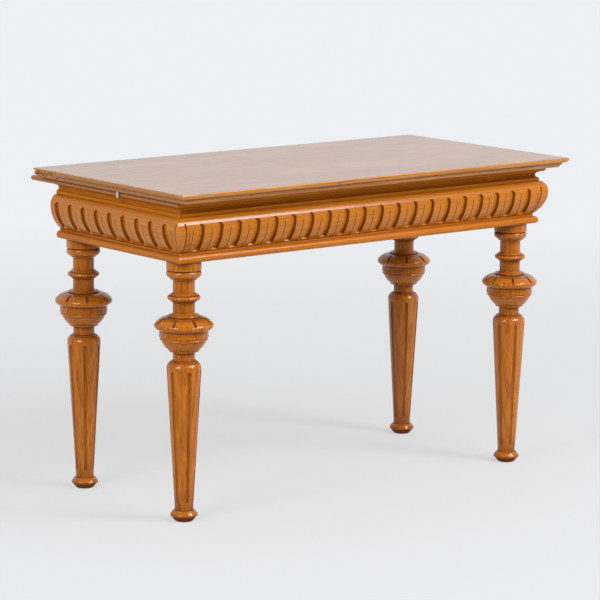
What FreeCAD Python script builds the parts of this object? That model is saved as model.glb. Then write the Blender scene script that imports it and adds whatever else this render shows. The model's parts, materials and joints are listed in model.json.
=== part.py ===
import FreeCAD, Part
import math
import os

V = FreeCAD.Vector

# Overall sizes, in millimetres
table_height = 740.0
top_length = 1126.0
top_end_overhang = 83.0
top_front_overhang = 109.0
top_rear_overhang = 78.0
leg_spacing_y = 388.0

# The two leaves of the top
leaf_thickness = 11.5
leaf_gap = 0.3
upper_edge_undercut = 6.0
upper_edge_rise = 1.6
upper_edge_round = 2.0
lower_leaf_inset = 11.5
lower_bead_height = 4.4
lower_edge_undercut = 8.0
lower_edge_rise = 1.2
baize_margin = 62.0
baize_thickness = 1.5
baize_clearance = 0.2

# Fixed bearer boards under the top, with the opening of the storage well
bearer_thickness = 11.4
bearer_overhang = 57.2
bearer_rear_overhang = 127.0
bearer_nose_rise = 4.6
deck_beyond_pivot = 78.0
well_rim = 91.0

# Frame mouldings: offsets run outwards from the leg axes
frame_depth = 125.0
base_height = 21.4
base_flat = 40.0
base_nose_rise = 6.5
base_fillet = 37.0
base_fillet_height = 4.7
frieze_low = 34.6
frieze_nose = 62.2
frieze_nose_drop = 22.6
frieze_high = 50.1
neck_height = 24.0
neck_fillet = 45.9
neck_fillet_height = 8.0
neck_step = 3.0
neck_step_height = 1.0
neck_hollow_rise = 5.2
neck_lip = 46.5
neck_lip_height = 2.4

# Carving of the frieze
gadroon_pitch = 50.3
gadroon_pitch_end = 51.9
gadroon_end_first = 13.5
gadroon_width = 17.0
gadroon_depth = 7.0
gadroon_shallow = 0.4
gadroon_floor_rise = 0.9
gadroon_top_margin = 14.0
gadroon_foot = 12.0
gadroon_foot_slope = 2.4
vein_width = 2.4
vein_depth = 2.0
vein_offset = 22.0
vein_top_margin = 25.0
corner_hook_width = 5.0
corner_hook_depth = 3.5
corner_hook_top_margin = 10.5
corner_notch_width = 9.0
corner_notch_depth = 5.0
corner_notch_length = 12.0
corner_hook_front = (33.0, 6.0)
corner_vein_front = (27.0, 3.0)
corner_hook_end = (46.0, 7.0)
corner_vein_end = (40.0, 2.0)

# Rails, posts and joints of the frame
post_half = 30.0
back_offset = 39.5
rail_thickness = 22.0
rail_lift = 3.0
tenon_thickness = 9.0
tenon_length = 24.0
tenon_shoulder = 15.0
joint_clearance = 0.2
cut_margin = 1.0

# Turned legs: drops run downwards from the underside of the frame
foot_sole_radius = 18.7
foot_low_rise = 0.8
foot_rim_radius = 30.2
foot_rim_low = 12.0
foot_rim_height = 3.6
foot_high_rise = 0.6
foot_neck_radius = 23.0
foot_neck_height = 24.6
foot_height = 29.6
ankle_radius = 20.4
shaft_radius = 38.4
shaft_drop = 237.3
shoulder_radius = 31.1
shoulder_height = 13.6
shoulder_rise = 2.0
neck_radius = 24.2
quirk = 2.0
quirk_height = 2.2
flare_height = 4.4
bead_height = 4.2
bead_rise = 1.6
cup_drop = 203.8
cup_foot_radius = 33.4
cup_radius = 50.4
cup_rise = 2.2
cup_lip_drop = 8.0
cup_bead_height = 4.0
cup_bead_rise = 0.8
ring_drop = 166.0
ring_low_radius = 54.8
ring_high_radius = 54.0
ring_height = 13.0
ring_hollow = 0.6
ring_bevel = 1.8
ring_bevel_height = 1.6
ring_quirk_height = 1.4
bulb_drop = 142.0
bulb_radius = 65.5
bulb_rim = 2.9
bulb_rim_height = 11.8
bulb_skirt_radius = 57.8
bulb_high_rise = 3.0
collar_drop = 123.6
collar_radius = 38.0
collar_bead_radius = 33.4
disc_drop = 81.0
disc_radius = 36.4
disc_edge_radius = 31.8
disc_height = 9.6
torus_drop = 37.0
torus_foot_radius = 32.4
torus_height = 15.2
torus_rise = 4.0
block_radius = 38.5
block_height = 19.6

# Carving of the legs, with the turn of the flutes and lobes on each leg
flute_count = 6
flute_low_margin = 16.0
flute_high_margin = 9.5
flute_low_radius = 3.0
flute_high_radius = 5.0
flute_low_depth = 2.4
flute_high_depth = 4.0
seam_turn = 30.0
lobe_count = 8
lobe_notch_inner = 2.2
lobe_notch_outer = 3.6
lobe_notch_margin = 9.0
lobe_notch_inner_lift = -1.6
lobe_notch_outer_inset = 3.0
lobe_notch_outer_lift = 6.2
carving_turns = {
    "leg_front_left": (13.0, 33.0),
    "leg_front_right": (13.0, 10.0),
    "leg_rear_left": (1.0, 19.0),
    "leg_rear_right": (1.0, 11.0),
}

# Storage well and its supports
well_board = 8.0
well_floor_lift = 24.0
ledger_size = 18.0
partition_thickness = 12.0
fit_gap = 0.3
glue_block_size = 22.0
glue_block_length = 50.0
glue_block_shares = (-0.69, -0.48, 0.13, 0.46, 0.79)

# Pivot of the turning top
pivot_rail_width = 80.0
pivot_rail_height = 30.0
pivot_tenon_length = 8.0
pivot_tenon_shoulder = 7.5
pivot_bolt_radius = 8.0
pivot_head_radius = 13.0
pivot_head_height = 2.0
pivot_tail = 15.0
bush_wall = 3.0
running_clearance = 0.05
pivot_plate_length = 110.0
pivot_plate_width = 64.0
pivot_plate_thickness = 3.0
plate_screw_inset = 11.0
washer_radius = 19.0
washer_thickness = 2.5
nut_across_flats = 26.0
nut_height = 9.0

# Strap hinges at the ends of the rear edge
hinge_edge_gap = 0.2
strap_thickness = 3.0
strap_height = 7.0
strap_length = 78.0
strap_lift = 1.0
knuckle_radius = 4.0
hinge_pin_radius = 1.75
hinge_pin_reach = 3.0
knuckle_clearance = 0.5
strap_screw_places = (28.0, 60.0)

# Stop hook under the left end of the lower leaf
hook_width = 9.0
hook_thickness = 4.0
hook_plate_thickness = 2.5
hook_plate_length = 42.0
hook_drop = 13.0
hook_from_front = 272.0
hook_screw_places = (14.5, 31.5)

# Screws
screw_slot = 0.8
strap_screw_head = 2.8
strap_screw_length = 16.0
plate_screw_head = 4.0
plate_screw_length = 7.5
hook_screw_head = 3.0
hook_screw_length = 7.0
bearer_screw_head = 4.5
bearer_screw_length = 38.0
bearer_screw_shares = (-0.7, -0.35, 0.1, 0.65)
bearer_screw_end_share = 0.4
screw_clearance = 0.1

# Levels above the floor
upper_low = table_height - leaf_thickness
hinge_z = upper_low - leaf_gap / 2
lower_top = upper_low - leaf_gap
lower_low = lower_top - leaf_thickness
bearer_top = lower_low - leaf_gap
bearer_low = bearer_top - bearer_thickness
frame_low = bearer_low - frame_depth
frieze_base = frame_low + base_height
neck_base = bearer_low - neck_height
frieze_nose_z = neck_base - frieze_nose_drop
rail_low = frame_low + rail_lift
well_floor = frame_low + well_floor_lift

# Places in plan, with the middle of the four legs at zero
half_top = top_length / 2
leg_x = half_top - top_end_overhang
leg_y = leg_spacing_y / 2
top_front = -leg_y - top_front_overhang
top_rear = leg_y + top_rear_overhang
hinge_y = top_rear + hinge_edge_gap
back_y = leg_y + back_offset
bearer_x = leg_x + bearer_overhang
bearer_front = -leg_y - bearer_overhang
bearer_rear = leg_y + bearer_rear_overhang
bearer_middle = (bearer_front + bearer_rear) / 2
rail_inner_front = -leg_y - post_half + rail_thickness
rail_inner_rear = back_y - rail_thickness
rail_inner_x = leg_x + post_half - rail_thickness

# A quarter turn about the pivot brings the hinge line over the middle of the bearer
pivot_x = (bearer_middle - hinge_y) / 2
pivot_y = (bearer_middle + hinge_y) / 2
deck_right = pivot_x + deck_beyond_pivot

# The origin is on the floor below the middle of the whole outline
origin_y = (bearer_rear + top_front) / 2


def section_x(y, z):
    return V(0, y, z)


def section_y(x, z):
    return V(x, 0, z)


def plan(x, y):
    return V(x, y, 0)


def outline(to_point, *steps):
    """Face with the given corners; a third value is the rise of an arc, to the right of its travel."""
    edges = []
    here = steps[0]
    for step in steps[1:] + steps[:1]:
        start, end = to_point(*here[:2]), to_point(*step[:2])
        if len(step) == 3:
            du, dv = step[0] - here[0], step[1] - here[1]
            rise = step[2] / math.hypot(du, dv)
            middle = to_point((here[0] + step[0]) / 2 + rise * dv, (here[1] + step[1]) / 2 - rise * du)
            edges.append(Part.Arc(start, middle, end).toShape())
        else:
            edges.append(Part.LineSegment(start, end).toShape())
        here = step
    return Part.Face(Part.Wire(edges))


def box(x0, y0, z0, x1, y1, z1):
    return Part.makeBox(x1 - x0, y1 - y0, z1 - z0, V(x0, y0, z0))


def cylinder(radius, start, end):
    along = end - start
    return Part.makeCylinder(radius, along.Length, start, along)


def mirrored(shape):
    return shape.mirror(V(0, 0, 0), V(1, 0, 0))


def screw_body(head, length, point, inwards, grow=0.0):
    shank = head / 2
    taper = Part.makeCone(head + grow, shank + grow, head - shank, point, inwards)
    return taper.fuse(cylinder(shank + grow, point, point + inwards * (length + grow))).removeSplitter()


def screws(head, length, points, inwards):
    """Slotted countersunk screws with their heads flush at the points, and the holes that hold them."""
    across = V(0, 0, 1).cross(inwards)
    across = across if across.Length > 0.5 else V(1, 0, 0)
    turn = FreeCAD.Rotation(across, inwards.cross(across), inwards, "ZXY")
    solids, holes = [], []
    for point in points:
        corner = V(-2 * head, -screw_slot / 2, -cut_margin)
        slot = Part.makeBox(4 * head, screw_slot, screw_slot + cut_margin, corner)
        slot.Placement = FreeCAD.Placement(point, turn)
        solids.append(screw_body(head, length, point, inwards).cut(slot))
        mouth = cylinder(head + screw_clearance, point - inwards * cut_margin, point)
        holes.append(screw_body(head, length, point, inwards, screw_clearance).fuse(mouth).removeSplitter())
    return Part.makeCompound(solids), holes


def cut_all(shape, cutters):
    """Shape after one cut after another, for cutters that overlap each other."""
    for cutter in cutters:
        shape = shape.cut(cutter)
    return shape


def save(name, shape):
    moved = shape.copy()
    moved.translate(V(0, -origin_y, 0))
    moved.exportStep("parts/" + name + ".step")


# Legs

def leg_turning():
    """The turned part of a leg, revolved about its axis."""
    foot_rim_high = foot_rim_low + foot_rim_height
    shaft_top = frame_low - shaft_drop
    shoulder = shaft_top + shoulder_height
    cup_low = frame_low - cup_drop
    ring_low = frame_low - ring_drop
    cup_high = ring_low - cup_lip_drop
    ring_high = ring_low + ring_height
    bulb_edge = bulb_radius - bulb_rim
    bulb_low = frame_low - bulb_drop - bulb_rim_height / 2
    collar = frame_low - collar_drop
    disc_low = frame_low - disc_drop - disc_height / 2
    disc_high = disc_low + disc_height
    torus_low = frame_low - torus_drop
    torus_high = torus_low + torus_height
    face = outline(
        section_y, (0, 0), (foot_sole_radius, 0),
        (foot_rim_radius - quirk, foot_rim_low, foot_low_rise),
        (foot_rim_radius, foot_rim_low),
        (foot_rim_radius, foot_rim_high),
        (foot_neck_radius, foot_neck_height, foot_high_rise),
        (ankle_radius, foot_neck_height),
        (ankle_radius, foot_height),
        (shaft_radius, shaft_top),
        (shoulder_radius, shoulder, shoulder_rise),
        (shoulder_radius - quirk, shoulder),
        (shoulder_radius - quirk, shoulder + quirk_height),
        (neck_radius, shoulder + 2 * quirk_height),
        (neck_radius, cup_low),
        (cup_foot_radius, cup_low + flare_height),
        (cup_foot_radius, cup_low + flare_height + quirk_height),
        (cup_radius, cup_high, cup_rise),
        (cup_radius + quirk, cup_high),
        (cup_radius + quirk, cup_high + cup_bead_height, cup_bead_rise),
        (ring_low_radius - ring_bevel, ring_low - ring_bevel_height),
        (ring_low_radius, ring_low),
        (ring_high_radius, ring_high, -ring_hollow),
        (ring_high_radius - quirk, ring_high),
        (ring_high_radius - quirk, ring_high + ring_quirk_height),
        (bulb_skirt_radius, ring_high + ring_quirk_height),
        (bulb_edge, bulb_low),
        (bulb_edge, bulb_low + bulb_rim_height, bulb_rim),
        (collar_radius, collar, bulb_high_rise),
        (collar_bead_radius, collar),
        (collar_bead_radius, collar + bead_height, bead_rise),
        (collar_bead_radius - 2 * quirk, collar + bead_height),
        (neck_radius, collar + bead_height + flare_height),
        (neck_radius, disc_low - quirk_height - flare_height),
        (disc_edge_radius - quirk, disc_low - quirk_height),
        (disc_edge_radius - quirk, disc_low),
        (disc_edge_radius, disc_low),
        (disc_edge_radius, disc_high, disc_radius - disc_edge_radius),
        (disc_edge_radius - quirk, disc_high),
        (disc_edge_radius - quirk, disc_high + quirk_height),
        (neck_radius, disc_high + quirk_height + flare_height),
        (neck_radius, torus_low - quirk_height - flare_height),
        (torus_foot_radius - quirk, torus_low - quirk_height),
        (torus_foot_radius - quirk, torus_low),
        (torus_foot_radius, torus_low),
        (block_radius - quirk, torus_high, torus_rise),
        (block_radius - 2 * quirk, torus_high),
        (block_radius - 2 * quirk, frame_low - block_height),
        (block_radius, frame_low - block_height),
        (block_radius, frame_low),
        (0, frame_low))
    return face.revolve(V(0, 0, 0), V(0, 0, 1), 360)


def shaft_flute():
    """Cutter of one tapering flute, along the shaft on the +X side."""
    shaft_top = frame_low - shaft_drop
    low_z = foot_height + flute_low_margin
    high_z = shaft_top - flute_high_margin
    slope = (shaft_radius - ankle_radius) / (shaft_top - foot_height)
    low = V(ankle_radius + slope * (low_z - foot_height) + flute_low_radius - flute_low_depth, 0, low_z)
    high = V(ankle_radius + slope * (high_z - foot_height) + flute_high_radius - flute_high_depth, 0, high_z)
    along = high - low
    cone = Part.makeCone(flute_low_radius, flute_high_radius, along.Length, low, along)
    return cone.fuse([Part.makeSphere(flute_low_radius, low), Part.makeSphere(flute_high_radius, high)])


def lobe_notch():
    """Cutter of one notch between the lobes on the shoulder of the bulb."""
    inner = V(collar_radius + lobe_notch_margin, 0, frame_low - collar_drop + lobe_notch_inner_lift)
    outer = V(bulb_radius - lobe_notch_outer_inset, 0, frame_low - bulb_drop + lobe_notch_outer_lift)
    along = outer - inner
    cone = Part.makeCone(lobe_notch_inner, lobe_notch_outer, along.Length, inner, along)
    return cone.fuse(Part.makeSphere(lobe_notch_outer, outer))


def turned_copies(cutter, count, first_angle):
    copies = []
    for index in range(count):
        copy = cutter.copy()
        copy.rotate(V(0, 0, 0), V(0, 0, 1), first_angle + index * 360 / count)
        copies.append(copy)
    return copies


def leg(side, end, turns, mortises):
    """Leg at side -1 left or 1 right and end -1 front or 1 rear, with its square post."""
    flute_turn, lobe_turn = turns
    flutes = turned_copies(shaft_flute(), flute_count, flute_turn)
    notches = turned_copies(lobe_notch(), lobe_count, lobe_turn)
    turning = leg_turning()
    turning.rotate(V(0, 0, 0), V(0, 0, 1), flute_turn + seam_turn)
    turning = turning.cut(flutes + notches)
    rear = back_offset if end > 0 else post_half
    post = box(-post_half, -post_half, frame_low, post_half, rear, bearer_low)
    whole = turning.fuse(post).removeSplitter()
    whole.translate(V(side * leg_x, end * leg_y, 0))
    return whole.cut(mortises)


# Rails with tenons, and the mortises that they fill

def rail_along_x(y0, grow=0.0):
    tenon_y = y0 + rail_thickness / 2
    reach = leg_x - post_half + tenon_length
    tenon = box(-reach - grow, tenon_y - tenon_thickness / 2 - grow, rail_low + tenon_shoulder - grow,
                reach + grow, tenon_y + tenon_thickness / 2 + grow, bearer_low - tenon_shoulder + grow)
    if grow:
        return tenon
    board = box(post_half - leg_x, y0, rail_low, leg_x - post_half, y0 + rail_thickness, bearer_low)
    return board.fuse(tenon).removeSplitter()


def rail_along_y(x0, grow=0.0):
    tenon_x = x0 + rail_thickness / 2
    reach = leg_y - post_half + tenon_length
    tenon = box(tenon_x - tenon_thickness / 2 - grow, -reach - grow, rail_low + tenon_shoulder - grow,
                tenon_x + tenon_thickness / 2 + grow, reach + grow, bearer_low - tenon_shoulder + grow)
    if grow:
        return tenon
    board = box(x0, post_half - leg_y, rail_low, x0 + rail_thickness, leg_y - post_half, bearer_low)
    return board.fuse(tenon).removeSplitter()


def pivot_rail_blank(grow=0.0):
    """Cross rail under the pivot, with a stub tenon into the front and rear rails."""
    half = pivot_rail_width / 2
    low = bearer_low - pivot_rail_height
    tenon = box(pivot_x - half + tenon_shoulder - grow, rail_inner_front - pivot_tenon_length - grow,
                low + pivot_tenon_shoulder - grow, pivot_x + half - tenon_shoulder + grow,
                rail_inner_rear + pivot_tenon_length + grow, bearer_low - pivot_tenon_shoulder + grow)
    if grow:
        return tenon
    board = box(pivot_x - half, rail_inner_front, low, pivot_x + half, rail_inner_rear, bearer_low)
    return board.fuse(tenon).removeSplitter()


# Mouldings: each run is modelled along X with its outer face towards -Y, then turned to its side

def runs():
    """Turn, distance of the leg axes, plan outline, carving and corners of the three moulded sides."""
    reach = 2 * bearer_overhang
    front_count = int(2 * leg_x / gadroon_pitch) + 1
    front = [(index - (front_count - 1) / 2) * gadroon_pitch for index in range(front_count)]
    first = -leg_y - gadroon_end_first
    end_count = int((back_y - gadroon_width / 2 - first) / gadroon_pitch_end) + 1
    end = [first + index * gadroon_pitch_end for index in range(end_count)]
    front_cuts = (corner_hook_front, corner_vein_front)
    end_cuts = (corner_hook_end, corner_vein_end)
    return {
        "front": (0, leg_y, ((-leg_x - reach, -leg_y - reach), (leg_x + reach, -leg_y - reach),
                             (leg_x, -leg_y), (-leg_x, -leg_y)),
                  (1, front), ((-1, leg_x, front_cuts), (1, leg_x, front_cuts))),
        "left": (-90, leg_x, ((-back_y, -leg_x - reach), (leg_y + reach, -leg_x - reach),
                              (leg_y, -leg_x), (-back_y, -leg_x)),
                 (-1, end), ((1, leg_y, end_cuts),)),
        "right": (90, leg_x, ((-leg_y - reach, -leg_x - reach), (back_y, -leg_x - reach),
                              (back_y, -leg_x), (-leg_y, -leg_x)),
                  (1, end), ((-1, leg_y, end_cuts),)),
    }


def turned_run(shape, turn):
    shape.rotate(V(0, 0, 0), V(0, 0, 1), turn)
    return shape


def moulding(run, steps):
    """Moulding of one side from its section steps (offset from the leg axes, height)."""
    turn, distance, corners = run[:3]
    section = [(-distance - step[0],) + step[1:] for step in steps]
    length = 2 * (leg_x + 2 * bearer_overhang)
    bar = outline(section_x, *section).extrude(V(length, 0, 0))
    bar.translate(V(-length / 2, 0, 0))
    prism = outline(plan, *corners).extrude(V(0, 0, table_height))
    return bar.common(prism)


def base_steps():
    bead_high = frieze_base - base_fillet_height
    return ((post_half, frame_low), (base_flat, frame_low), (base_flat, bead_high, -base_nose_rise),
            (base_fillet, bead_high), (base_fillet, frieze_base), (post_half, frieze_base))


def arc_radius(drop, height):
    return (drop * drop + height * height) / (2 * drop)


def arc_rise(drop, height):
    """Rise of an arc that is upright at one end and leans in by the drop over the height."""
    radius = arc_radius(drop, height)
    return radius - math.sqrt(radius * radius - (drop * drop + height * height) / 4)


def frieze_steps():
    low_rise = arc_rise(frieze_nose - frieze_low, frieze_nose_z - frieze_base)
    high_rise = arc_rise(frieze_nose - frieze_high, frieze_nose_drop)
    return ((post_half, frieze_base), (frieze_low, frieze_base), (frieze_nose, frieze_nose_z, -low_rise),
            (frieze_high, neck_base, -high_rise), (post_half, neck_base))


def neck_steps():
    fillet_high = neck_base + neck_fillet_height
    return ((post_half, neck_base), (neck_fillet, neck_base), (neck_fillet, fillet_high),
            (neck_fillet - neck_step, fillet_high + neck_step_height),
            (neck_lip, bearer_low - neck_lip_height, neck_hollow_rise),
            (neck_lip, bearer_low), (post_half, bearer_low))


def ring_cutter(distance, section, low_z, high_z):
    """Turns a section (along the run, depth) about the centre of the frieze's lower curve."""
    radius = arc_radius(frieze_nose - frieze_low, frieze_nose_z - frieze_base)
    centre = V(0, radius - distance - frieze_nose, frieze_nose_z)
    low_angle = math.degrees(math.asin((low_z - frieze_nose_z) / radius))
    high_angle = math.degrees(math.asin((high_z - frieze_nose_z) / radius))
    face = outline(lambda u, depth: V(u, centre.y - radius + depth, frieze_nose_z), *section)
    face.rotate(centre, V(1, 0, 0), -low_angle)
    return face.revolve(centre, V(-1, 0, 0), high_angle - low_angle)


def gadroon_cutter(distance):
    """One scoop of the frieze: a round-headed recess that deepens to the right, with a sloped foot."""
    half = gadroon_width / 2
    top = neck_base - gadroon_top_margin
    clear = gadroon_depth
    floor = ring_cutter(distance, ((-half, -clear), (half, -clear), (half, gadroon_depth),
                                   (-half, gadroon_shallow, gadroon_floor_rise)),
                        frieze_base + cut_margin, top + cut_margin)
    head = outline(section_y, (-half, frieze_base), (half, frieze_base), (half, top - half),
                   (-half, top - half, half)).extrude(V(0, -2 * leg_x, 0))
    foot_z = frieze_base + gadroon_foot
    reach = 2 * frieze_nose
    fall = gadroon_foot_slope * reach
    inner_z = foot_z + gadroon_foot_slope * frieze_low
    side = outline(section_x, (-distance - reach, inner_z - fall), (-distance, inner_z),
                   (-distance, inner_z + fall), (-distance - reach, inner_z + fall))
    foot = side.extrude(V(gadroon_width, 0, 0))
    foot.translate(V(-half, 0, 0))
    return floor.common(head).common(foot)


def vein_cutter(distance, width, depth, low_z, high_z):
    """Fine V cut up the face of the frieze."""
    half = width / 2
    return ring_cutter(distance, ((-half, -depth / 2), (half, -depth / 2), (0, depth)), low_z, high_z)


def frieze(run):
    """Cushion frieze of one side with its gadroons, their veins and the cuts of the corner leaves."""
    distance, (hand, places), corners = run[1], run[3], run[4]
    gadroon = gadroon_cutter(distance)
    vein_low = frieze_base - vein_depth
    hook_high = neck_base - corner_hook_top_margin
    vein = vein_cutter(distance, vein_width, vein_depth, vein_low, neck_base - vein_top_margin)
    hook = vein_cutter(distance, corner_hook_width, corner_hook_depth, vein_low, hook_high)
    notch = vein_cutter(distance, corner_notch_width, corner_notch_depth,
                        hook_high - corner_notch_length, hook_high)
    cutters = []
    for place in places:
        for cutter, shift in ((gadroon, 0.0), (vein, -vein_offset)):
            copy = cutter.copy()
            copy.translate(V(place + shift, 0, 0))
            cutters.append(copy if hand > 0 else mirrored(copy))
    for side, corner, cuts in corners:
        for cutter, (offset, lean) in zip((hook, notch, vein), (cuts[0], *cuts)):
            copy = cutter.copy()
            copy.rotate(V(0, 0, frieze_base), V(0, 1, 0), side * lean)
            copy.translate(V(side * (corner + offset), 0, 0))
            cutters.append(copy)
    return moulding(run, frieze_steps()).cut(cutters)


# Boards with shaped edges: the section across the depth meets the section along the length

def shaped_board(across, along):
    """Board inside both its section in Y and Z and its section in X and Z."""
    length, depth = 2 * half_top, 2 * (bearer_rear - top_front)
    across_bar = outline(section_x, *across).extrude(V(length, 0, 0))
    across_bar.translate(V(-length / 2, 0, 0))
    along_bar = outline(section_y, *along).extrude(V(0, depth, 0))
    along_bar.translate(V(0, -depth / 2, 0))
    return across_bar.common(along_bar)


def nosed(low, high):
    """Section of the bearer between two edges, both with a rounded nose."""
    inset = bearer_nose_rise
    return ((low + inset, bearer_low, inset), (high - inset, bearer_low),
            (high - inset, bearer_top, inset), (low + inset, bearer_top))


def bearers(holes):
    """Deck that carries the pivot, and the three boards round the opening of the well."""
    whole = shaped_board(nosed(bearer_front, bearer_rear), nosed(-bearer_x, bearer_x)).cut(holes)
    rim_front, rim_rear = well_rim + bearer_front, leg_y - post_half - joint_clearance
    rim_x = bearer_x - well_rim
    low, high = bearer_low - cut_margin, bearer_top + cut_margin
    return {
        "bearer_deck": whole.common(box(-bearer_x, bearer_front, low, deck_right, bearer_rear, high)),
        "bearer_front": whole.common(box(deck_right, bearer_front, low, bearer_x, rim_front, high)),
        "bearer_rear": whole.common(box(deck_right, rim_rear, low, bearer_x, bearer_rear, high)),
        "bearer_right": whole.common(box(rim_x, rim_front, low, bearer_x, rim_rear, high)),
    }


def upper_leaf_blank():
    """Leaf with a rounded upper edge and an undercut below it, on the front and both ends."""
    cut, rise, radius = upper_edge_undercut, upper_edge_rise, upper_edge_round
    corner = radius - radius / math.sqrt(2)
    side = table_height - radius
    across = ((top_front + cut, upper_low, rise), (top_rear, upper_low), (top_rear, table_height),
              (top_front + radius, table_height), (top_front, side, corner))
    along = ((-half_top + cut, upper_low, rise), (half_top - cut, upper_low), (half_top, side, rise),
             (half_top - radius, table_height, corner), (-half_top + radius, table_height),
             (-half_top, side, corner))
    return shaped_board(across, along)


def lower_leaf_blank():
    """Leaf with a bead along its upper edge and an undercut below it, on the front and both ends."""
    nose, rise = lower_bead_height / 2, lower_edge_rise
    high, low = lower_leaf_inset + nose, lower_leaf_inset + lower_edge_undercut
    bead_low = lower_top - lower_bead_height
    across = ((top_front + low, lower_low, rise), (top_rear, lower_low), (top_rear, lower_top),
              (top_front + high, lower_top), (top_front + high, bead_low, nose))
    along = ((-half_top + low, lower_low, rise), (half_top - low, lower_low),
             (half_top - high, bead_low, rise), (half_top - high, lower_top, nose),
             (-half_top + high, lower_top), (-half_top + high, bead_low, nose))
    return shaped_board(across, along)


def baize(low, high, grow=0.0):
    """Cloth panel between the leaf margins, or its recess where it grows."""
    return box(-half_top + baize_margin - grow, top_front + baize_margin - grow, low,
               half_top - baize_margin + grow, top_rear - baize_margin + grow, high)


# Strap hinges: the upper strap lies outside the lower one, on the same axis

strap_upper_x = half_top - upper_edge_undercut
strap_lower_x = half_top - lower_leaf_inset
knuckle_split = strap_lower_x + joint_clearance
strap_inner_x = strap_lower_x - strap_thickness


def knuckle(radius, x0, x1):
    return cylinder(radius, V(x0, hinge_y, hinge_z), V(x1, hinge_y, hinge_z))


def strap(outer_x, low, knuckle_x0, knuckle_x1, grow=0.0):
    """Bar along the end of a leaf with its knuckle, or the recess for it where it grows."""
    outside = half_top if grow else outer_x
    bar = box(outer_x - strap_thickness - grow, hinge_y - strap_length - grow, low - grow,
              outside, hinge_y, low + strap_height + grow)
    eye = knuckle(knuckle_radius + grow, knuckle_x0 - grow, knuckle_x1 + grow)
    if grow:
        return bar.fuse(eye)
    hole = knuckle(hinge_pin_radius + running_clearance, knuckle_x0 - cut_margin, knuckle_x1 + cut_margin)
    return bar.fuse(eye).removeSplitter().cut(hole)


def strap_points(outer_x, low):
    return [V(outer_x, hinge_y - place, low + strap_height / 2) for place in strap_screw_places]


def hinge():
    """Straps, pin and screws of the right-hand hinge, and what each leaf loses to them."""
    upper_z = hinge_z + strap_lift
    lower_z = hinge_z - strap_lift - strap_height
    upper = (strap_upper_x, upper_z, knuckle_split, strap_upper_x)
    lower = (strap_lower_x, lower_z, strap_inner_x, strap_lower_x)
    inwards = V(-1, 0, 0)
    upper_screws, upper_holes = screws(strap_screw_head, strap_screw_length,
                                       strap_points(strap_upper_x, upper_z), inwards)
    lower_screws, lower_holes = screws(strap_screw_head, strap_screw_length,
                                       strap_points(strap_lower_x, lower_z), inwards)
    pin_x0, pin_x1 = strap_inner_x - hinge_pin_reach, strap_upper_x
    pin = knuckle(hinge_pin_radius, pin_x0, pin_x1)
    swept = knuckle(knuckle_radius + knuckle_clearance, pin_x0 - knuckle_clearance, half_top)
    solids = {
        "hinge_straps_upper": strap(*upper).cut(upper_holes),
        "hinge_straps_lower": strap(*lower).cut(lower_holes),
        "hinge_pins": pin,
        "strap_screws_upper": upper_screws,
        "strap_screws_lower": lower_screws,
    }
    upper_cuts = [strap(*upper, joint_clearance), swept] + upper_holes
    lower_cuts = [strap(*lower, joint_clearance), swept] + lower_holes
    return solids, upper_cuts, lower_cuts


def both_ends(shape):
    other = mirrored(shape)
    return Part.makeCompound(shape.Solids + other.Solids)


# Pivot of the turning top

def pivot_parts():
    """Bolt, plate, washer and nut that turn with the lower leaf, and the leaf's recesses."""
    axis = V(pivot_x, pivot_y, 0)
    level = lambda z: V(pivot_x, pivot_y, z)
    half_l, half_w = pivot_plate_length / 2, pivot_plate_width / 2
    plate_top = lower_low + pivot_plate_thickness
    head_top = plate_top + pivot_head_height
    rail_under = bearer_low - pivot_rail_height
    washer_top = rail_under - fit_gap
    nut_top = washer_top - washer_thickness
    bolt_end = nut_top - nut_height - pivot_tail
    screw_dx, screw_dy = half_l - plate_screw_inset, half_w - plate_screw_inset
    points = [V(pivot_x + sx * screw_dx, pivot_y + sy * screw_dy, lower_low)
              for sx in (-1, 1) for sy in (-1, 1)]
    plate_screws, plate_holes = screws(plate_screw_head, plate_screw_length, points, V(0, 0, 1))
    bolt = cylinder(pivot_bolt_radius, level(bolt_end), level(plate_top))
    bolt = bolt.fuse(cylinder(pivot_head_radius, level(plate_top), level(head_top))).removeSplitter()
    eye = cylinder(pivot_bolt_radius + running_clearance, level(bolt_end), level(plate_top + cut_margin))
    plate = box(-half_l, -half_w, lower_low, half_l, half_w, plate_top)
    plate.translate(axis)
    recess = box(-half_l - joint_clearance, -half_w - joint_clearance, lower_low - cut_margin,
                 half_l + joint_clearance, half_w + joint_clearance, plate_top)
    recess.translate(axis)
    head_room = pivot_head_radius + joint_clearance
    head_recess = cylinder(head_room, level(lower_low - cut_margin), level(head_top))
    washer = cylinder(washer_radius, level(nut_top), level(washer_top)).cut(eye)
    hexagon = Part.makePolygon([V(nut_across_flats / math.sqrt(3) * math.cos(math.radians(60 * k)),
                                  nut_across_flats / math.sqrt(3) * math.sin(math.radians(60 * k)), 0)
                                for k in range(7)])
    nut = Part.Face(hexagon).extrude(V(0, 0, nut_height))
    nut.translate(level(nut_top - nut_height))
    return {
        "pivot_bolt": bolt,
        "pivot_plate": plate.cut([eye] + plate_holes),
        "pivot_washer": washer,
        "pivot_nut": nut.cut(eye),
        "pivot_plate_screws": plate_screws,
    }, [recess, head_recess] + plate_holes


def pivot_bush():
    """Brass tube through the deck and the pivot rail, and the hole that holds it."""
    low, high = V(pivot_x, pivot_y, bearer_low - pivot_rail_height), V(pivot_x, pivot_y, bearer_top)
    inner = pivot_bolt_radius + running_clearance
    tube = cylinder(inner + bush_wall, low, high).cut(cylinder(inner, low, high))
    return tube, cylinder(inner + bush_wall + running_clearance, low, high)


# Stop hook

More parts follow.
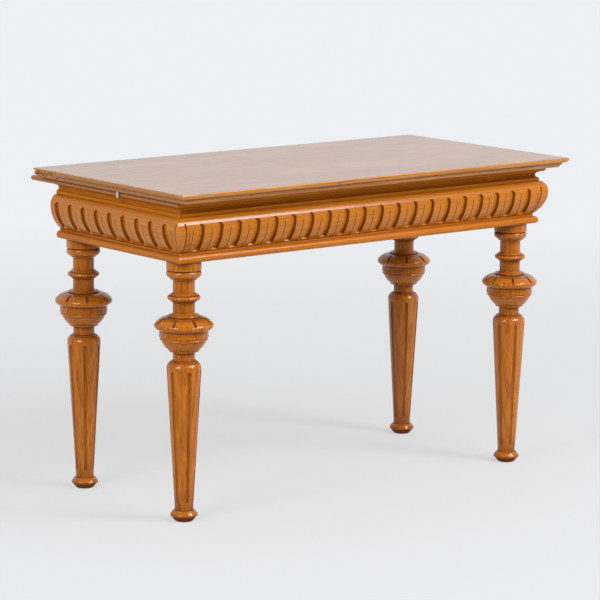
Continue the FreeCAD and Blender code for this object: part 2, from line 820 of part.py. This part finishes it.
def hook_parts():
    """Hook that meets the left edge of the bearer when the top is closed, and its recess."""
    y = top_front + hook_from_front
    inner_x = -bearer_x - fit_gap
    outer_x = inner_x - hook_thickness
    plate_top = lower_low + hook_plate_thickness
    half = hook_width / 2
    plate = box(outer_x, y - half, lower_low, outer_x + hook_plate_length, y + half, plate_top)
    lug = box(outer_x, y - half, lower_low - hook_drop, inner_x, y + half, plate_top)
    points = [V(inner_x + place, y, lower_low) for place in hook_screw_places]
    hook_screws, holes = screws(hook_screw_head, hook_screw_length, points, V(0, 0, 1))
    grow = joint_clearance
    recess = box(outer_x - grow, y - half - grow, lower_low - cut_margin, outer_x + hook_plate_length + grow,
                 y + half + grow, plate_top)
    hook = plate.fuse(lug).removeSplitter().cut(holes)
    return {"stop_hook": hook, "hook_screws": hook_screws}, [recess] + holes


# Storage well

def well_parts():
    """Partition, floor and ledgers of the well to the right of the pivot rail."""
    left = pivot_x + pivot_rail_width / 2
    inner = left + partition_thickness
    front, rear, right = rail_inner_front, rail_inner_rear, rail_inner_x
    post_x, post_y = leg_x - post_half, leg_y - post_half
    low = well_floor - ledger_size
    partition = box(left, front, low, inner, rear, bearer_low)
    floor = box(inner + fit_gap, front + fit_gap, well_floor, right - fit_gap, rear - fit_gap,
                well_floor + well_board)
    notch_low, notch_high = well_floor - cut_margin, well_floor + well_board + cut_margin
    notches = [box(post_x - fit_gap, y0, notch_low, right, y1, notch_high)
               for y0, y1 in ((front, fit_gap - post_y), (post_y - fit_gap, rear))]
    ledgers = [
        box(inner, front, low, post_x, front + ledger_size, well_floor),
        box(inner, rear - ledger_size, low, post_x, rear, well_floor),
        box(right - ledger_size, -post_y, low, right, post_y, well_floor),
        box(inner, front + ledger_size, low, inner + ledger_size, rear - ledger_size, well_floor),
    ]
    return {"well_partition": partition, "well_floor": floor.cut(notches),
            "well_ledgers": Part.makeCompound(ledgers)}


def glue_blocks():
    """Blocks in the angle between the rails and the bearer boards."""
    half, size = glue_block_length / 2, glue_block_size
    blocks = []
    for share in glue_block_shares:
        x = share * leg_x
        for y0 in (rail_inner_front, rail_inner_rear - size):
            blocks.append(box(x - half, y0, bearer_low - size, x + half, y0 + size, bearer_low))
    return Part.makeCompound(blocks)


def bearer_fixings():
    """Screws from the bearer boards down into the rails, and their holes."""
    front_y = rail_inner_front - rail_thickness / 2
    rear_y = rail_inner_rear + rail_thickness / 2
    side_x = rail_inner_x + rail_thickness / 2
    points = [V(share * leg_x, y, bearer_top) for y in (front_y, rear_y) for share in bearer_screw_shares]
    points += [V(sx * side_x, sy * bearer_screw_end_share * leg_y, bearer_top)
               for sx in (-1, 1) for sy in (-1, 1)]
    return screws(bearer_screw_head, bearer_screw_length, points, V(0, 0, -1))


def build():
    """Every piece of the table by its name."""
    pieces = {}
    bush, bush_hole = pivot_bush()
    bearer_screws, bearer_holes = bearer_fixings()
    front_y, rear_y = -leg_y - post_half, back_y - rail_thickness
    left_x, right_x = -leg_x - post_half, rail_inner_x
    grow = joint_clearance
    mortises = [rail_along_x(front_y, grow), rail_along_x(rear_y, grow),
                rail_along_y(left_x, grow), rail_along_y(right_x, grow)]
    for side, side_name in ((-1, "left"), (1, "right")):
        for end, end_name in ((-1, "front"), (1, "rear")):
            name = "leg_%s_%s" % (end_name, side_name)
            pieces[name] = leg(side, end, carving_turns[name], mortises)
    pivot_mortise = [pivot_rail_blank(grow)]
    pieces["rail_front"] = rail_along_x(front_y).cut(pivot_mortise + bearer_holes)
    pieces["rail_rear"] = rail_along_x(rear_y).cut(pivot_mortise + bearer_holes)
    pieces["rail_left"] = rail_along_y(left_x).cut(bearer_holes)
    pieces["rail_right"] = rail_along_y(right_x).cut(bearer_holes)
    for name, run in runs().items():
        turn = run[0]
        pieces["base_moulding_" + name] = turned_run(moulding(run, base_steps()), turn)
        pieces["frieze_" + name] = turned_run(frieze(run), turn)
        pieces["neck_moulding_" + name] = turned_run(moulding(run, neck_steps()), turn)
    pieces.update(bearers([bush_hole] + bearer_holes))
    pieces["bearer_screws"] = bearer_screws
    pieces["pivot_rail"] = pivot_rail_blank().cut(bush_hole)
    pieces["pivot_bush"] = bush
    pieces.update(well_parts())
    pieces["glue_blocks"] = glue_blocks()
    pivot, pivot_cuts = pivot_parts()
    hook, hook_cuts = hook_parts()
    hinges, upper_cuts, lower_cuts = hinge()
    upper_cuts = upper_cuts + [mirrored(cut) for cut in upper_cuts]
    lower_cuts = lower_cuts + [mirrored(cut) for cut in lower_cuts]
    lower_cloth, upper_cloth = lower_top - baize_thickness, upper_low + baize_thickness
    lower_recess = baize(lower_cloth, lower_top + cut_margin, baize_clearance)
    upper_recess = baize(upper_low - cut_margin, upper_cloth, baize_clearance)
    pieces["leaf_lower"] = cut_all(lower_leaf_blank(), [lower_recess] + pivot_cuts + hook_cuts + lower_cuts)
    pieces["leaf_upper"] = cut_all(upper_leaf_blank(), [upper_recess] + upper_cuts)
    pieces["baize_lower"] = baize(lower_cloth, lower_top)
    pieces["baize_upper"] = baize(upper_low, upper_cloth)
    pieces.update(pivot)
    pieces.update(hook)
    pieces.update((name, both_ends(shape)) for name, shape in hinges.items())
    return pieces


os.makedirs("parts", exist_ok=True)
for piece_name, piece in build().items():
    save(piece_name, piece)
print("swivel axis", round(pivot_x, 3), round(pivot_y - origin_y, 3))
print("fold axis", round(hinge_y - origin_y, 3), round(hinge_z, 3))
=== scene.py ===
import json
import math

import bpy
from mathutils import Matrix, Vector


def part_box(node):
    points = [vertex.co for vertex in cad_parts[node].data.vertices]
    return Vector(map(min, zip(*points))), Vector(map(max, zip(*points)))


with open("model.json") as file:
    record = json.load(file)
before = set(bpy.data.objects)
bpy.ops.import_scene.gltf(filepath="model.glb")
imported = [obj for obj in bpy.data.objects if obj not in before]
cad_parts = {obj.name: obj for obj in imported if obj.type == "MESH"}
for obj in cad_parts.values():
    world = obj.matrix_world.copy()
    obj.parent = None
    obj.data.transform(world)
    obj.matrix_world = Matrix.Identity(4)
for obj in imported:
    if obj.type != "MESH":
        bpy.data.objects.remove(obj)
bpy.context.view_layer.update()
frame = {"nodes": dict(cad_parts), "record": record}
nodes = frame["nodes"]
slot_of = {part["node"]: part["material_slot"] for part in frame["record"]["subparts"]}

# Camera of the photograph: metres and degrees, lens and sensor in millimetres
CAMERA_PLACE = Vector((-4.06698, -5.12189, 1.56373))
CAMERA_YAW = 38.477
CAMERA_PITCH = 9.9705
CAMERA_ROLL = 0.3865
CAMERA_LENS = 170.43
CAMERA_SENSOR = 36.0
CAMERA_FAR = 200.0

# Studio: colours are linear, sizes in metres; a lamp has its name, place, size and power in watts
TABLE_MIDDLE = Vector((0.0, 0.0, 0.55))
LAMP_COLOUR = (0.94, 1.0, 1.08)
LAMPS = (
    ("key_lamp", (1.7, -2.6, 3.0), (1.1, 1.9), 88.0),
    ("front_lamp", (0.65, -3.05, 2.75), (1.8, 1.6), 54.0),
    ("left_lamp", (-3.1, -0.9, 2.0), (1.5, 1.5), 60.0),
)
PALE = (0.85, 0.87, 0.895, 1.0)
FILL_LOW = 0.12
FILL_HIGH = 0.80
DIM_STRENGTH = 0.18
BACKDROP_WAY = Vector((0.62, 0.78, 0.0))
BACKDROP_DIM_END = -0.4
BACKDROP_DIM_START = 0.5
FLOOR_SIZE = 90.0
FLOOR_COLOUR = (0.58, 0.57, 0.555, 1.0)
FLOOR_SEEN = (0.85, 0.85, 0.85)
FLOOR_GLOW = 0.65
FLOOR_FADE_START = 0.6
FLOOR_FADE_END = 4.0
FLOOR_DIM_START = 0.2
FLOOR_DIM_END = -0.9

# Wood: dark, middle and light tones, and the colours laid over them
OAK_TONES = ((0.33, 0.074, 0.003), (0.50, 0.140, 0.006), (0.62, 0.204, 0.014))
FRIEZE_TONES = ((0.36, 0.086, 0.004), (0.54, 0.162, 0.008), (0.68, 0.240, 0.018))
EDGE_TONES = ((0.40, 0.125, 0.015), (0.57, 0.210, 0.030), (0.69, 0.295, 0.052))
# Paler, greyer tones for faces that lie flat, partly a painted reflection
PALE_FLAT_FACE_AND_REFLECTION_TONES = ((0.17, 0.062, 0.018), (0.34, 0.148, 0.050), (0.54, 0.290, 0.136))
BARE_TONES = ((0.30, 0.165, 0.065), (0.44, 0.27, 0.12), (0.54, 0.36, 0.18))
END_COLOUR = (0.24, 0.070, 0.008)
DRY_END_COLOUR = (0.40, 0.185, 0.080)
# Dark colour for grooves and hollows: dirt in the grooves, and painted shade
CREVICE_DIRT_AND_SHADE_COLOUR = (0.12, 0.022, 0.002)
PORE_COLOUR = (0.17, 0.036, 0.003)
# Light colour for outer edges: rubbed wear and a painted highlight
EDGE_WEAR_AND_HIGHLIGHT_COLOUR = (0.67, 0.300, 0.065)

# Grain: scales per metre across and along it, and distances in metres
SWAY_SCALE = (5.0, 0.9)
STREAK_SCALE = (210.0, 2.4)
PATCH_SCALE = (9.0, 3.0)
FIBRE_SCALE = (800.0, 14.0)
FLECK_SCALE = (260.0, 11.0)
SWAY = 0.03
RING_SPACING = 0.006
RING_STRETCH = 0.06
WAVE_RATE = 20.0  # a wave texture repeats every tau / (rate * scale)
PITH_BESIDE_LEG = Vector((0.035, 0.05, 0.0))
PITH_BESIDE_BOARD = 0.20125
GROOVE_REACH = 0.006
EDGE_RADIUS = 0.0009
GRAIN_DEPTH = 0.0004
SEED_STEP = Vector((1.37, 2.11, 3.73))
GRAIN_ALONG_X = ("bearer_deck",)

# Shares of the figure, and the stretch of a noise or mask over which each effect grows
RING_SHARE = 0.30
STREAK_SHARE = 0.45
PATCH_SHARE = 0.25
MOST_NOISE = (0.3, 0.7)
FLECK_RANGE = (0.35, 0.65)
PORE_RANGE = (0.56, 0.70)
LATE_WOOD_RANGE = (0.2, 0.9)
FLAT_RANGE = (0.8, 0.95)
GROOVE_DIRT_AND_SHADE_RANGE = (0.3, 0.8)
RECESS_SHADE_RANGE = (0.35, 1.0)
CLEAN_RANGE = (0.35, 0.85)
WORN_RANGE = (0.35, 0.6)
EDGE_WEAR_AND_HIGHLIGHT_RANGE = (0.3, 0.7)
END_BLEND = 0.15
END_SHARE = 0.75
EARLY_PORES = 0.75
LATE_PORES = 0.2
LEAST_WEAR = 0.1
LEAST_COAT = 0.1
COAT_IOR = 1.5
STREAK_HEIGHT = 0.4
ROUGH_BELOW = 0.06
ROUGH_ABOVE = 0.08

# Metal and baize
BRASS = ((0.60, 0.30, 0.095), (0.36, 0.16, 0.055))
BRASS_ROUGH = 0.42
BRASS_SCRATCHES = (60.0, 900.0, 900.0)
STEEL = ((0.72, 0.71, 0.69), (0.36, 0.34, 0.32))
STEEL_ROUGH = 0.30
STEEL_SCRATCHES = (900.0, 60.0, 900.0)
TARNISH_SCALE = (90.0, 90.0, 90.0)
TARNISH_RANGE = (0.38, 0.66)
TARNISH_SMOOTHER = 0.1
TARNISH_ROUGHER = 0.15
GRIME_REACH = 0.004
GRIME_RANGE = (0.3, 0.9)
GRIME_SHARE = 0.7
GRIME_DARK = 0.3
SCRATCH_DEPTH = 0.0002
SCRATCH_STRENGTH = 0.15
BAIZE_TONES = ((0.012, 0.070, 0.028), (0.030, 0.140, 0.062))
BAIZE_WORN_COLOUR = (0.090, 0.185, 0.090)
BAIZE_WORN_SHARE = 0.25
BAIZE_WORN_RANGE = (0.52, 0.72)
BAIZE_WORN_SCALE = (7.0, 7.0, 7.0)
FUZZ_SCALE = (900.0, 900.0, 900.0)
FUZZ_DEPTH = 0.0005
FUZZ_STRENGTH = 0.5
THREAD_SCALE = 90.0
THREAD_SHARE = 0.3

# Polishes: gloss, grain, end grain, dirt and painted shade in grooves, painted shade in hollows, and edges
# lightened by wear and a painted highlight
VARNISH = {
    "rough": 0.45, "bump": 0.2, "specular": 0.05, "coat": 0.8, "coat_rough": 0.11,
    "figure": 1.3, "flecks": 0.4, "paler": False,
    "end": 0.8, "end_colour": END_COLOUR, "end_coat": 1.0,
    "groove_dirt_and_shade": 0.6, "recess": 0.8, "reach": 0.09,
    "wear_and_highlight": 0.4, "wear_and_highlight_width": 0.003,
}
CARVED = {
    **VARNISH, "bump": 0.15, "coat_rough": 0.2,
    "figure": 0.7, "flecks": 0.2,
    "groove_dirt_and_shade": 0.1, "recess": 0.0, "reach": 0.03,
}
MOULDED = {**CARVED, "coat": 0.45, "groove_dirt_and_shade": 0.4, "recess": 0.35}
HOLLOWED = {**MOULDED, "specular": 0.02, "coat": 0.12, "groove_dirt_and_shade": 0.6, "recess": 0.3}
BOARD = {**HOLLOWED, "end": 0.5, "end_colour": DRY_END_COLOUR, "end_coat": 0.2}
TOP_POLISH = {
    **VARNISH, "bump": 0.35, "coat": 1.0, "coat_rough": 0.2,
    "figure": 1.2, "flecks": 0.3, "paler": True,
    "end": 0.5, "end_colour": DRY_END_COLOUR, "end_coat": 0.2,
    "groove_dirt_and_shade": 0.15, "recess": 0.0, "reach": 0.03,
    "wear_and_highlight": 0.7, "wear_and_highlight_width": 0.005,
}
BARE = {**VARNISH, "rough": 0.75, "bump": 0.5, "specular": 0.3, "coat": 0.0, "figure": 1.0}

# Tones and polish of each slot, and of the nodes whose names start with a word
WOODS = {
    "varnished_oak": (OAK_TONES, VARNISH),
    "top_oak": (EDGE_TONES, TOP_POLISH),
    "plain_wood": (BARE_TONES, BARE),
}
SPECIAL_WOODS = {
    "frieze": (FRIEZE_TONES, CARVED),
    "base_moulding": (OAK_TONES, MOULDED),
    "neck_moulding": (FRIEZE_TONES, HOLLOWED),
    "bearer": (FRIEZE_TONES, BOARD),
}


def node(tree, kind, inputs=None, **settings):
    """New shader node; inputs maps socket names or numbers to a value or to another node's output."""
    made = tree.nodes.new("ShaderNode" + kind)
    for name, value in settings.items():
        setattr(made, name, value)
    for name, value in (inputs or {}).items():
        if isinstance(value, bpy.types.NodeSocket):
            tree.links.new(value, made.inputs[name])
        else:
            made.inputs[name].default_value = value
    return made


def maths(tree, operation, first, second=0.0, clamp=False):
    return node(tree, "Math", {0: first, 1: second}, operation=operation, use_clamp=clamp).outputs[0]


def vectors(tree, operation, *values):
    """Vector from a vector maths node, such as a sum."""
    return node(tree, "VectorMath", dict(enumerate(values)), operation=operation).outputs[0]


def measured(tree, operation, *values):
    """Number from a vector maths node, such as a length or a dot product."""
    return node(tree, "VectorMath", dict(enumerate(values)), operation=operation).outputs["Value"]


def remap(tree, value, low, high, new_low=0.0, new_high=1.0):
    """Value from low..high to new_low..new_high, held at the ends."""
    limits = {"From Min": low, "From Max": high, "To Min": new_low, "To Max": new_high}
    return node(tree, "MapRange", {"Value": value, **limits}).outputs["Result"]


def mixed(tree, factor, first, second):
    """Mix of two colours, each a socket or three linear numbers."""
    made = node(tree, "Mix", data_type="RGBA")
    for index, value in ((0, factor), (6, first), (7, second)):
        if isinstance(value, bpy.types.NodeSocket):
            tree.links.new(value, made.inputs[index])
        else:
            made.inputs[index].default_value = value if index == 0 else (*value, 1.0)
    return made.outputs[2]


def ramp(tree, value, colours):
    """Colour between evenly spaced stops."""
    made = node(tree, "ValToRGB", {"Fac": value})
    stops = made.color_ramp.elements
    for index, colour in enumerate(colours):
        place = index / (len(colours) - 1)
        stop = stops[index] if index < len(stops) else stops.new(place)
        stop.position = place
        stop.color = (*colour, 1.0)
    return made.outputs["Color"]


def noise(tree, coords, scale, detail=2.0, rough=0.5):
    """Noise over coordinates that are stretched by a scale for each axis."""
    placed = node(tree, "Mapping", {"Vector": coords, "Scale": scale}).outputs[0]
    look = {"Scale": 1.0, "Detail": detail, "Roughness": rough}
    return node(tree, "TexNoise", {"Vector": placed, **look})


def new_material(name):
    """Empty node material with its principled shader."""
    made = bpy.data.materials.new(name)
    made.use_nodes = True
    return made, made.node_tree, made.node_tree.nodes["Principled BSDF"]


def set_sockets(shader, **values):
    for name, value in values.items():
        shader.inputs[name.replace("_", " ")].default_value = value


def set_bump(tree, shader, **inputs):
    """Bump on a shader's normal."""
    bump = node(tree, "Bump", inputs)
    tree.links.new(bump.outputs["Normal"], shader.inputs["Normal"])


def stretched(axis, across, along):
    """Vector with one number across the grain and another along it."""
    return Vector([along if index == axis else across for index in range(3)])


def crevices(tree, distance):
    """1 in the open and 0 deep in a groove."""
    return node(tree, "AmbientOcclusion", {"Distance": distance}, samples=8).outputs["AO"]


def arrises(tree, distance):
    """1 on sharp outer edges and 0 on flat faces."""
    inside = node(tree, "AmbientOcclusion", {"Distance": distance}, samples=8, inside=True)
    return maths(tree, "SUBTRACT", 1.0, inside.outputs["AO"], clamp=True)


def weighed(tree, *terms):
    """Sum of values, each with its weight."""
    total = None
    for value, weight in terms:
        part = maths(tree, "MULTIPLY", value, weight)
        total = part if total is None else maths(tree, "ADD", total, part)
    return total


def growth_rings(tree, coords, axis, pith):
    """Saw-toothed rings about the pith, drawn out along the grain."""
    centred = node(tree, "Mapping", {"Vector": coords, "Location": -pith,
                                     "Scale": stretched(axis, 1.0, RING_STRETCH)})
    look = {"Scale": math.tau / (WAVE_RATE * RING_SPACING),
            "Distortion": 2.4, "Detail": 3.0, "Detail Scale": 1.6}
    waves = node(tree, "TexWave", {"Vector": centred.outputs[0], **look},
                 wave_type="RINGS", rings_direction="XYZ"[axis], wave_profile="SAW")
    return waves.outputs["Fac"]


def oak(name, axis, seed, pith, tones, polish):
    """Oak with growth rings about its pith, streaks, pores, end grain, dirt and painted shade in grooves,
    painted shade in hollows, and edges lightened by wear and a painted highlight.
    """
    made, tree, shader = new_material(name)
    place = node(tree, "TexCoord").outputs
    facing = node(tree, "SeparateXYZ", {0: place["Normal"]}).outputs
    moved = vectors(tree, "ADD", place["Object"], SEED_STEP * seed)
    sway = noise(tree, moved, stretched(axis, *SWAY_SCALE)).outputs["Color"]
    bent = vectors(tree, "MULTIPLY_ADD", sway, (SWAY, SWAY, SWAY), place["Object"])

    rings = growth_rings(tree, bent, axis, pith)
    streaks = noise(tree, moved, stretched(axis, *STREAK_SCALE), detail=4.0, rough=0.6).outputs["Fac"]
    patches = noise(tree, moved, stretched(axis, *PATCH_SCALE), detail=3.0).outputs["Fac"]
    fibres = noise(tree, moved, stretched(axis, *FIBRE_SCALE)).outputs["Fac"]
    flecks = noise(tree, moved, stretched(axis, *FLECK_SCALE), detail=3.0, rough=0.6).outputs["Fac"]

    grown = weighed(tree, (rings, RING_SHARE),
                    (remap(tree, streaks, *MOST_NOISE), STREAK_SHARE),
                    (remap(tree, patches, *MOST_NOISE), PATCH_SHARE))
    flecked = weighed(tree, (grown, 1.0 - polish["flecks"]),
                      (remap(tree, flecks, *FLECK_RANGE), polish["flecks"]))
    lowest = 0.5 - polish["figure"] / 2
    figure = remap(tree, flecked, 0.0, 1.0, lowest, 1.0 - lowest)
    colour = ramp(tree, figure, tones)
    # Paler, greyer tones on faces that lie flat: partly paler wood, partly a painted reflection of the
    # pale surroundings
    if polish["paler"]:
        flat = remap(tree, maths(tree, "ABSOLUTE", facing["Z"]), *FLAT_RANGE)
        colour = mixed(tree, flat, colour, ramp(tree, figure, PALE_FLAT_FACE_AND_REFLECTION_TONES))

    in_ring = remap(tree, rings, *LATE_WOOD_RANGE, EARLY_PORES, LATE_PORES)
    pores = maths(tree, "MULTIPLY", remap(tree, fibres, *PORE_RANGE), in_ring)
    pores = maths(tree, "MULTIPLY", pores, polish["figure"])
    colour = mixed(tree, pores, colour, PORE_COLOUR)
    along = maths(tree, "ABSOLUTE", facing[axis])
    cut_end = remap(tree, along, polish["end"], polish["end"] + END_BLEND, 0.0, END_SHARE)
    colour = mixed(tree, cut_end, colour, polish["end_colour"])
    # Dark colour in narrow grooves: partly dirt and varnish built up in them, partly painted shade
    groove_dirt_and_shade = remap(tree, crevices(tree, GROOVE_REACH), *GROOVE_DIRT_AND_SHADE_RANGE, polish["groove_dirt_and_shade"], 0.0)
    colour = mixed(tree, groove_dirt_and_shade, colour, CREVICE_DIRT_AND_SHADE_COLOUR)
    # Painted shade: darker colour deep in hollows and under overhanging parts; the same openness also
    # thins the coat
    open_air = crevices(tree, polish["reach"])
    recess = remap(tree, open_air, *RECESS_SHADE_RANGE, polish["recess"], 0.0)
    colour = mixed(tree, recess, colour, CREVICE_DIRT_AND_SHADE_COLOUR)
    # Lighter colour on outer edges: partly rubbed wear, partly a painted highlight along the arrises
    worn = remap(tree, patches, *WORN_RANGE, LEAST_WEAR, polish["wear_and_highlight"])
    edge_wear_and_highlight = remap(tree, arrises(tree, polish["wear_and_highlight_width"]), *EDGE_WEAR_AND_HIGHLIGHT_RANGE)
    colour = mixed(tree, maths(tree, "MULTIPLY", edge_wear_and_highlight, worn), colour, EDGE_WEAR_AND_HIGHLIGHT_COLOUR)
    tree.links.new(colour, shader.inputs["Base Color"])

    smoothest, roughest = polish["rough"] - ROUGH_BELOW, polish["rough"] + ROUGH_ABOVE
    rough = remap(tree, streaks, *MOST_NOISE, smoothest, roughest)
    tree.links.new(rough, shader.inputs["Roughness"])
    height = maths(tree, "SUBTRACT", maths(tree, "MULTIPLY", streaks, STREAK_HEIGHT), pores)
    round_edge = node(tree, "Bevel", {"Radius": EDGE_RADIUS}, samples=6).outputs[0]
    set_bump(tree, shader, Height=height, Strength=polish["bump"], Distance=GRAIN_DEPTH, Normal=round_edge)
    tree.links.new(round_edge, shader.inputs["Coat Normal"])
    end_coat = polish["coat"] * polish["end_coat"]
    sealed = remap(tree, cut_end, 0.0, END_SHARE, polish["coat"], end_coat)
    clean = remap(tree, open_air, *CLEAN_RANGE, LEAST_COAT, 1.0)
    tree.links.new(maths(tree, "MULTIPLY", clean, sealed), shader.inputs["Coat Weight"])
    set_sockets(shader, Coat_Roughness=polish["coat_rough"], Coat_IOR=COAT_IOR,
                Specular_IOR_Level=polish["specular"])
    return made


def metal(name, bright, dull, rough, scratch_scale):
    """Aged metal: tarnish in patches, darker in corners, with fine scratches."""
    made, tree, shader = new_material(name)
    coords = node(tree, "TexCoord").outputs["Object"]
    tarnish = noise(tree, coords, TARNISH_SCALE, detail=5.0, rough=0.65).outputs["Fac"]
    scratches = noise(tree, coords, scratch_scale).outputs["Fac"]
    colour = mixed(tree, remap(tree, tarnish, *TARNISH_RANGE), bright, dull)
    grime = remap(tree, crevices(tree, GRIME_REACH), *GRIME_RANGE, GRIME_SHARE, 0.0)
    colour = mixed(tree, grime, colour, [part * GRIME_DARK for part in dull])
    tree.links.new(colour, shader.inputs["Base Color"])
    uneven = remap(tree, tarnish, *MOST_NOISE, rough - TARNISH_SMOOTHER, rough + TARNISH_ROUGHER)
    tree.links.new(uneven, shader.inputs["Roughness"])
    set_bump(tree, shader, Height=scratches, Strength=SCRATCH_STRENGTH, Distance=SCRATCH_DEPTH)
    set_sockets(shader, Metallic=1.0)
    return made


def baize(name):
    """Felted woollen cloth: tangled fibres, a faint weave and worn paler patches."""
    made, tree, shader = new_material(name)
    coords = node(tree, "TexCoord").outputs["Object"]
    fuzz = noise(tree, coords, FUZZ_SCALE, detail=4.0, rough=0.7).outputs["Fac"]
    worn = noise(tree, coords, BAIZE_WORN_SCALE, detail=4.0).outputs["Fac"]
    look = {"Scale": THREAD_SCALE, "Distortion": 3.0, "Detail": 2.0, "Detail Scale": 3.0}
    weave = [node(tree, "TexWave", {"Vector": coords, **look}, bands_direction=way).outputs["Fac"]
             for way in ("X", "Y")]
    threads = maths(tree, "MULTIPLY", *weave)
    colour = mixed(tree, remap(tree, fuzz, *MOST_NOISE), *BAIZE_TONES)
    paler = remap(tree, worn, *BAIZE_WORN_RANGE, 0.0, BAIZE_WORN_SHARE)
    colour = mixed(tree, paler, colour, BAIZE_WORN_COLOUR)
    tree.links.new(colour, shader.inputs["Base Color"])
    height = maths(tree, "ADD", fuzz, maths(tree, "MULTIPLY", threads, THREAD_SHARE))
    set_bump(tree, shader, Height=height, Strength=FUZZ_STRENGTH, Distance=FUZZ_DEPTH)
    set_sockets(shader, Roughness=0.95, Sheen_Weight=0.5, Sheen_Roughness=0.4, Specular_IOR_Level=0.2)
    return made


def grain_axis(name):
    """Axis of a wooden node's grain: its longest side."""
    low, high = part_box(name)
    sides = high - low
    return 0 if name in GRAIN_ALONG_X else max(range(3), key=lambda index: sides[index])


def pith_of(name, axis):
    """Middle of the growth rings: near the axis of a leg, and well outside a board."""
    low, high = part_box(name)
    upright = axis == 2
    return (low + high) / 2 + (PITH_BESIDE_LEG if upright else stretched(axis, PITH_BESIDE_BOARD, 0.0))


def wood_of(name):
    """Tones and polish of a wooden node; carvings, mouldings and bearers have their own."""
    for start, wood in SPECIAL_WOODS.items():
        if name.startswith(start):
            return wood
    return WOODS[slot_of[name]]


def finish_nodes():
    """Gives every CAD node its material."""
    shared = {
        "baize": baize("baize"),
        "brass": metal("brass", *BRASS, BRASS_ROUGH, BRASS_SCRATCHES),
        "steel": metal("steel", *STEEL, STEEL_ROUGH, STEEL_SCRATCHES),
    }
    for seed, name in enumerate(sorted(nodes)):
        slot = slot_of[name]
        if slot in WOODS:
            axis = grain_axis(name)
            finish = oak("oak_" + name, axis, seed, pith_of(name, axis), *wood_of(name))
        else:
            finish = shared[slot]
        mesh = nodes[name].data
        mesh.materials.clear()
        mesh.materials.append(finish)


def add_floor():
    """Pale floor that keeps the shadows near the table and fades into the pale surroundings."""
    mesh = bpy.data.meshes.new("floor")
    half = FLOOR_SIZE / 2
    corners = [(-half, -half, 0.0), (half, -half, 0.0), (half, half, 0.0), (-half, half, 0.0)]
    mesh.from_pydata(corners, [], [(0, 1, 2, 3)])
    floor = bpy.data.objects.new("floor", mesh)
    bpy.context.scene.collection.objects.link(floor)
    made, tree, shader = new_material("pale_floor")
    set_sockets(shader, Base_Color=FLOOR_COLOUR, Roughness=0.8, Specular_IOR_Level=0.1)
    coords = node(tree, "TexCoord").outputs["Object"]
    far = remap(tree, measured(tree, "LENGTH", coords), FLOOR_FADE_START, FLOOR_FADE_END)
    path = node(tree, "LightPath").outputs
    seen = maths(tree, "MAXIMUM", path["Is Camera Ray"], path["Is Glossy Ray"])
    behind = measured(tree, "DOT_PRODUCT", coords, BACKDROP_WAY)
    mirrored = remap(tree, behind, FLOOR_DIM_END, FLOOR_DIM_START, DIM_STRENGTH, 1.0)
    strength = maths(tree, "MAXIMUM", mirrored, path["Is Camera Ray"])
    glow = node(tree, "Emission", {"Color": mixed(tree, far, FLOOR_SEEN, PALE[:3]), "Strength": strength})
    share = maths(tree, "MULTIPLY", remap(tree, far, 0.0, 1.0, FLOOR_GLOW, 1.0), seen)
    blend = node(tree, "MixShader", {0: share, 1: shader.outputs[0], 2: glow.outputs[0]})
    tree.links.new(blend.outputs[0], tree.nodes["Material Output"].inputs["Surface"])
    mesh.materials.append(made)


def add_world():
    """Fill light, mostly from above; the camera and reflections see the pale background."""
    world = bpy.data.worlds.new("studio")
    bpy.context.scene.world = world
    world.use_nodes = True
    tree = world.node_tree
    background = tree.nodes["Background"]
    path = node(tree, "LightPath").outputs
    way = node(tree, "TexCoord").outputs["Generated"]
    behind = measured(tree, "DOT_PRODUCT", way, BACKDROP_WAY)
    shiny = maths(tree, "MAXIMUM", path["Is Glossy Ray"], path["Is Transmission Ray"])
    shown = remap(tree, behind, BACKDROP_DIM_END, BACKDROP_DIM_START, DIM_STRENGTH, 1.0)
    mirrored = maths(tree, "MULTIPLY", shiny, shown)
    height = node(tree, "SeparateXYZ", {0: way}).outputs["Z"]
    fill = remap(tree, height, 0.0, 1.0, FILL_LOW, FILL_HIGH)
    lit = maths(tree, "MULTIPLY", maths(tree, "SUBTRACT", 1.0, shiny), fill)
    strength = maths(tree, "MAXIMUM", maths(tree, "ADD", mirrored, lit), path["Is Camera Ray"])
    background.inputs["Color"].default_value = PALE
    tree.links.new(strength, background.inputs["Strength"])


def add_lamps():
    """Soft boxes that point at the middle of the table."""
    for name, place, size, power in LAMPS:
        light = bpy.data.lights.new(name, "AREA")
        light.shape = "RECTANGLE"
        light.size, light.size_y = size
        light.energy = power
        light.color = LAMP_COLOUR
        lamp = bpy.data.objects.new(name, light)
        lamp.location = place
        lamp.rotation_euler = (TABLE_MIDDLE - Vector(place)).to_track_quat("-Z", "Y").to_euler()
        lamp.visible_camera = False
        bpy.context.scene.collection.objects.link(lamp)


def add_camera():
    """Camera with the place, direction and lens of the photograph."""
    yaw, pitch, roll = (math.radians(angle) for angle in (CAMERA_YAW, CAMERA_PITCH, CAMERA_ROLL))
    ahead = Vector((math.sin(yaw), math.cos(yaw), 0.0))
    forward = ahead * math.cos(pitch) - Vector((0.0, 0.0, math.sin(pitch)))
    level = Vector((math.cos(yaw), -math.sin(yaw), 0.0))
    upright = level.cross(forward)
    right = math.cos(roll) * level + math.sin(roll) * upright
    up = math.cos(roll) * upright - math.sin(roll) * level
    data = bpy.data.cameras.new("camera")
    data.lens = CAMERA_LENS
    data.sensor_width = CAMERA_SENSOR
    data.clip_end = CAMERA_FAR
    camera = bpy.data.objects.new("camera", data)
    turn = Matrix((right, up, -forward)).transposed().to_4x4()
    camera.matrix_world = Matrix.Translation(CAMERA_PLACE) @ turn
    bpy.context.scene.collection.objects.link(camera)
    bpy.context.scene.camera = camera


finish_nodes()
add_floor()
add_world()
add_lamps()
add_camera()
bpy.context.scene.view_settings.view_transform = "Standard"
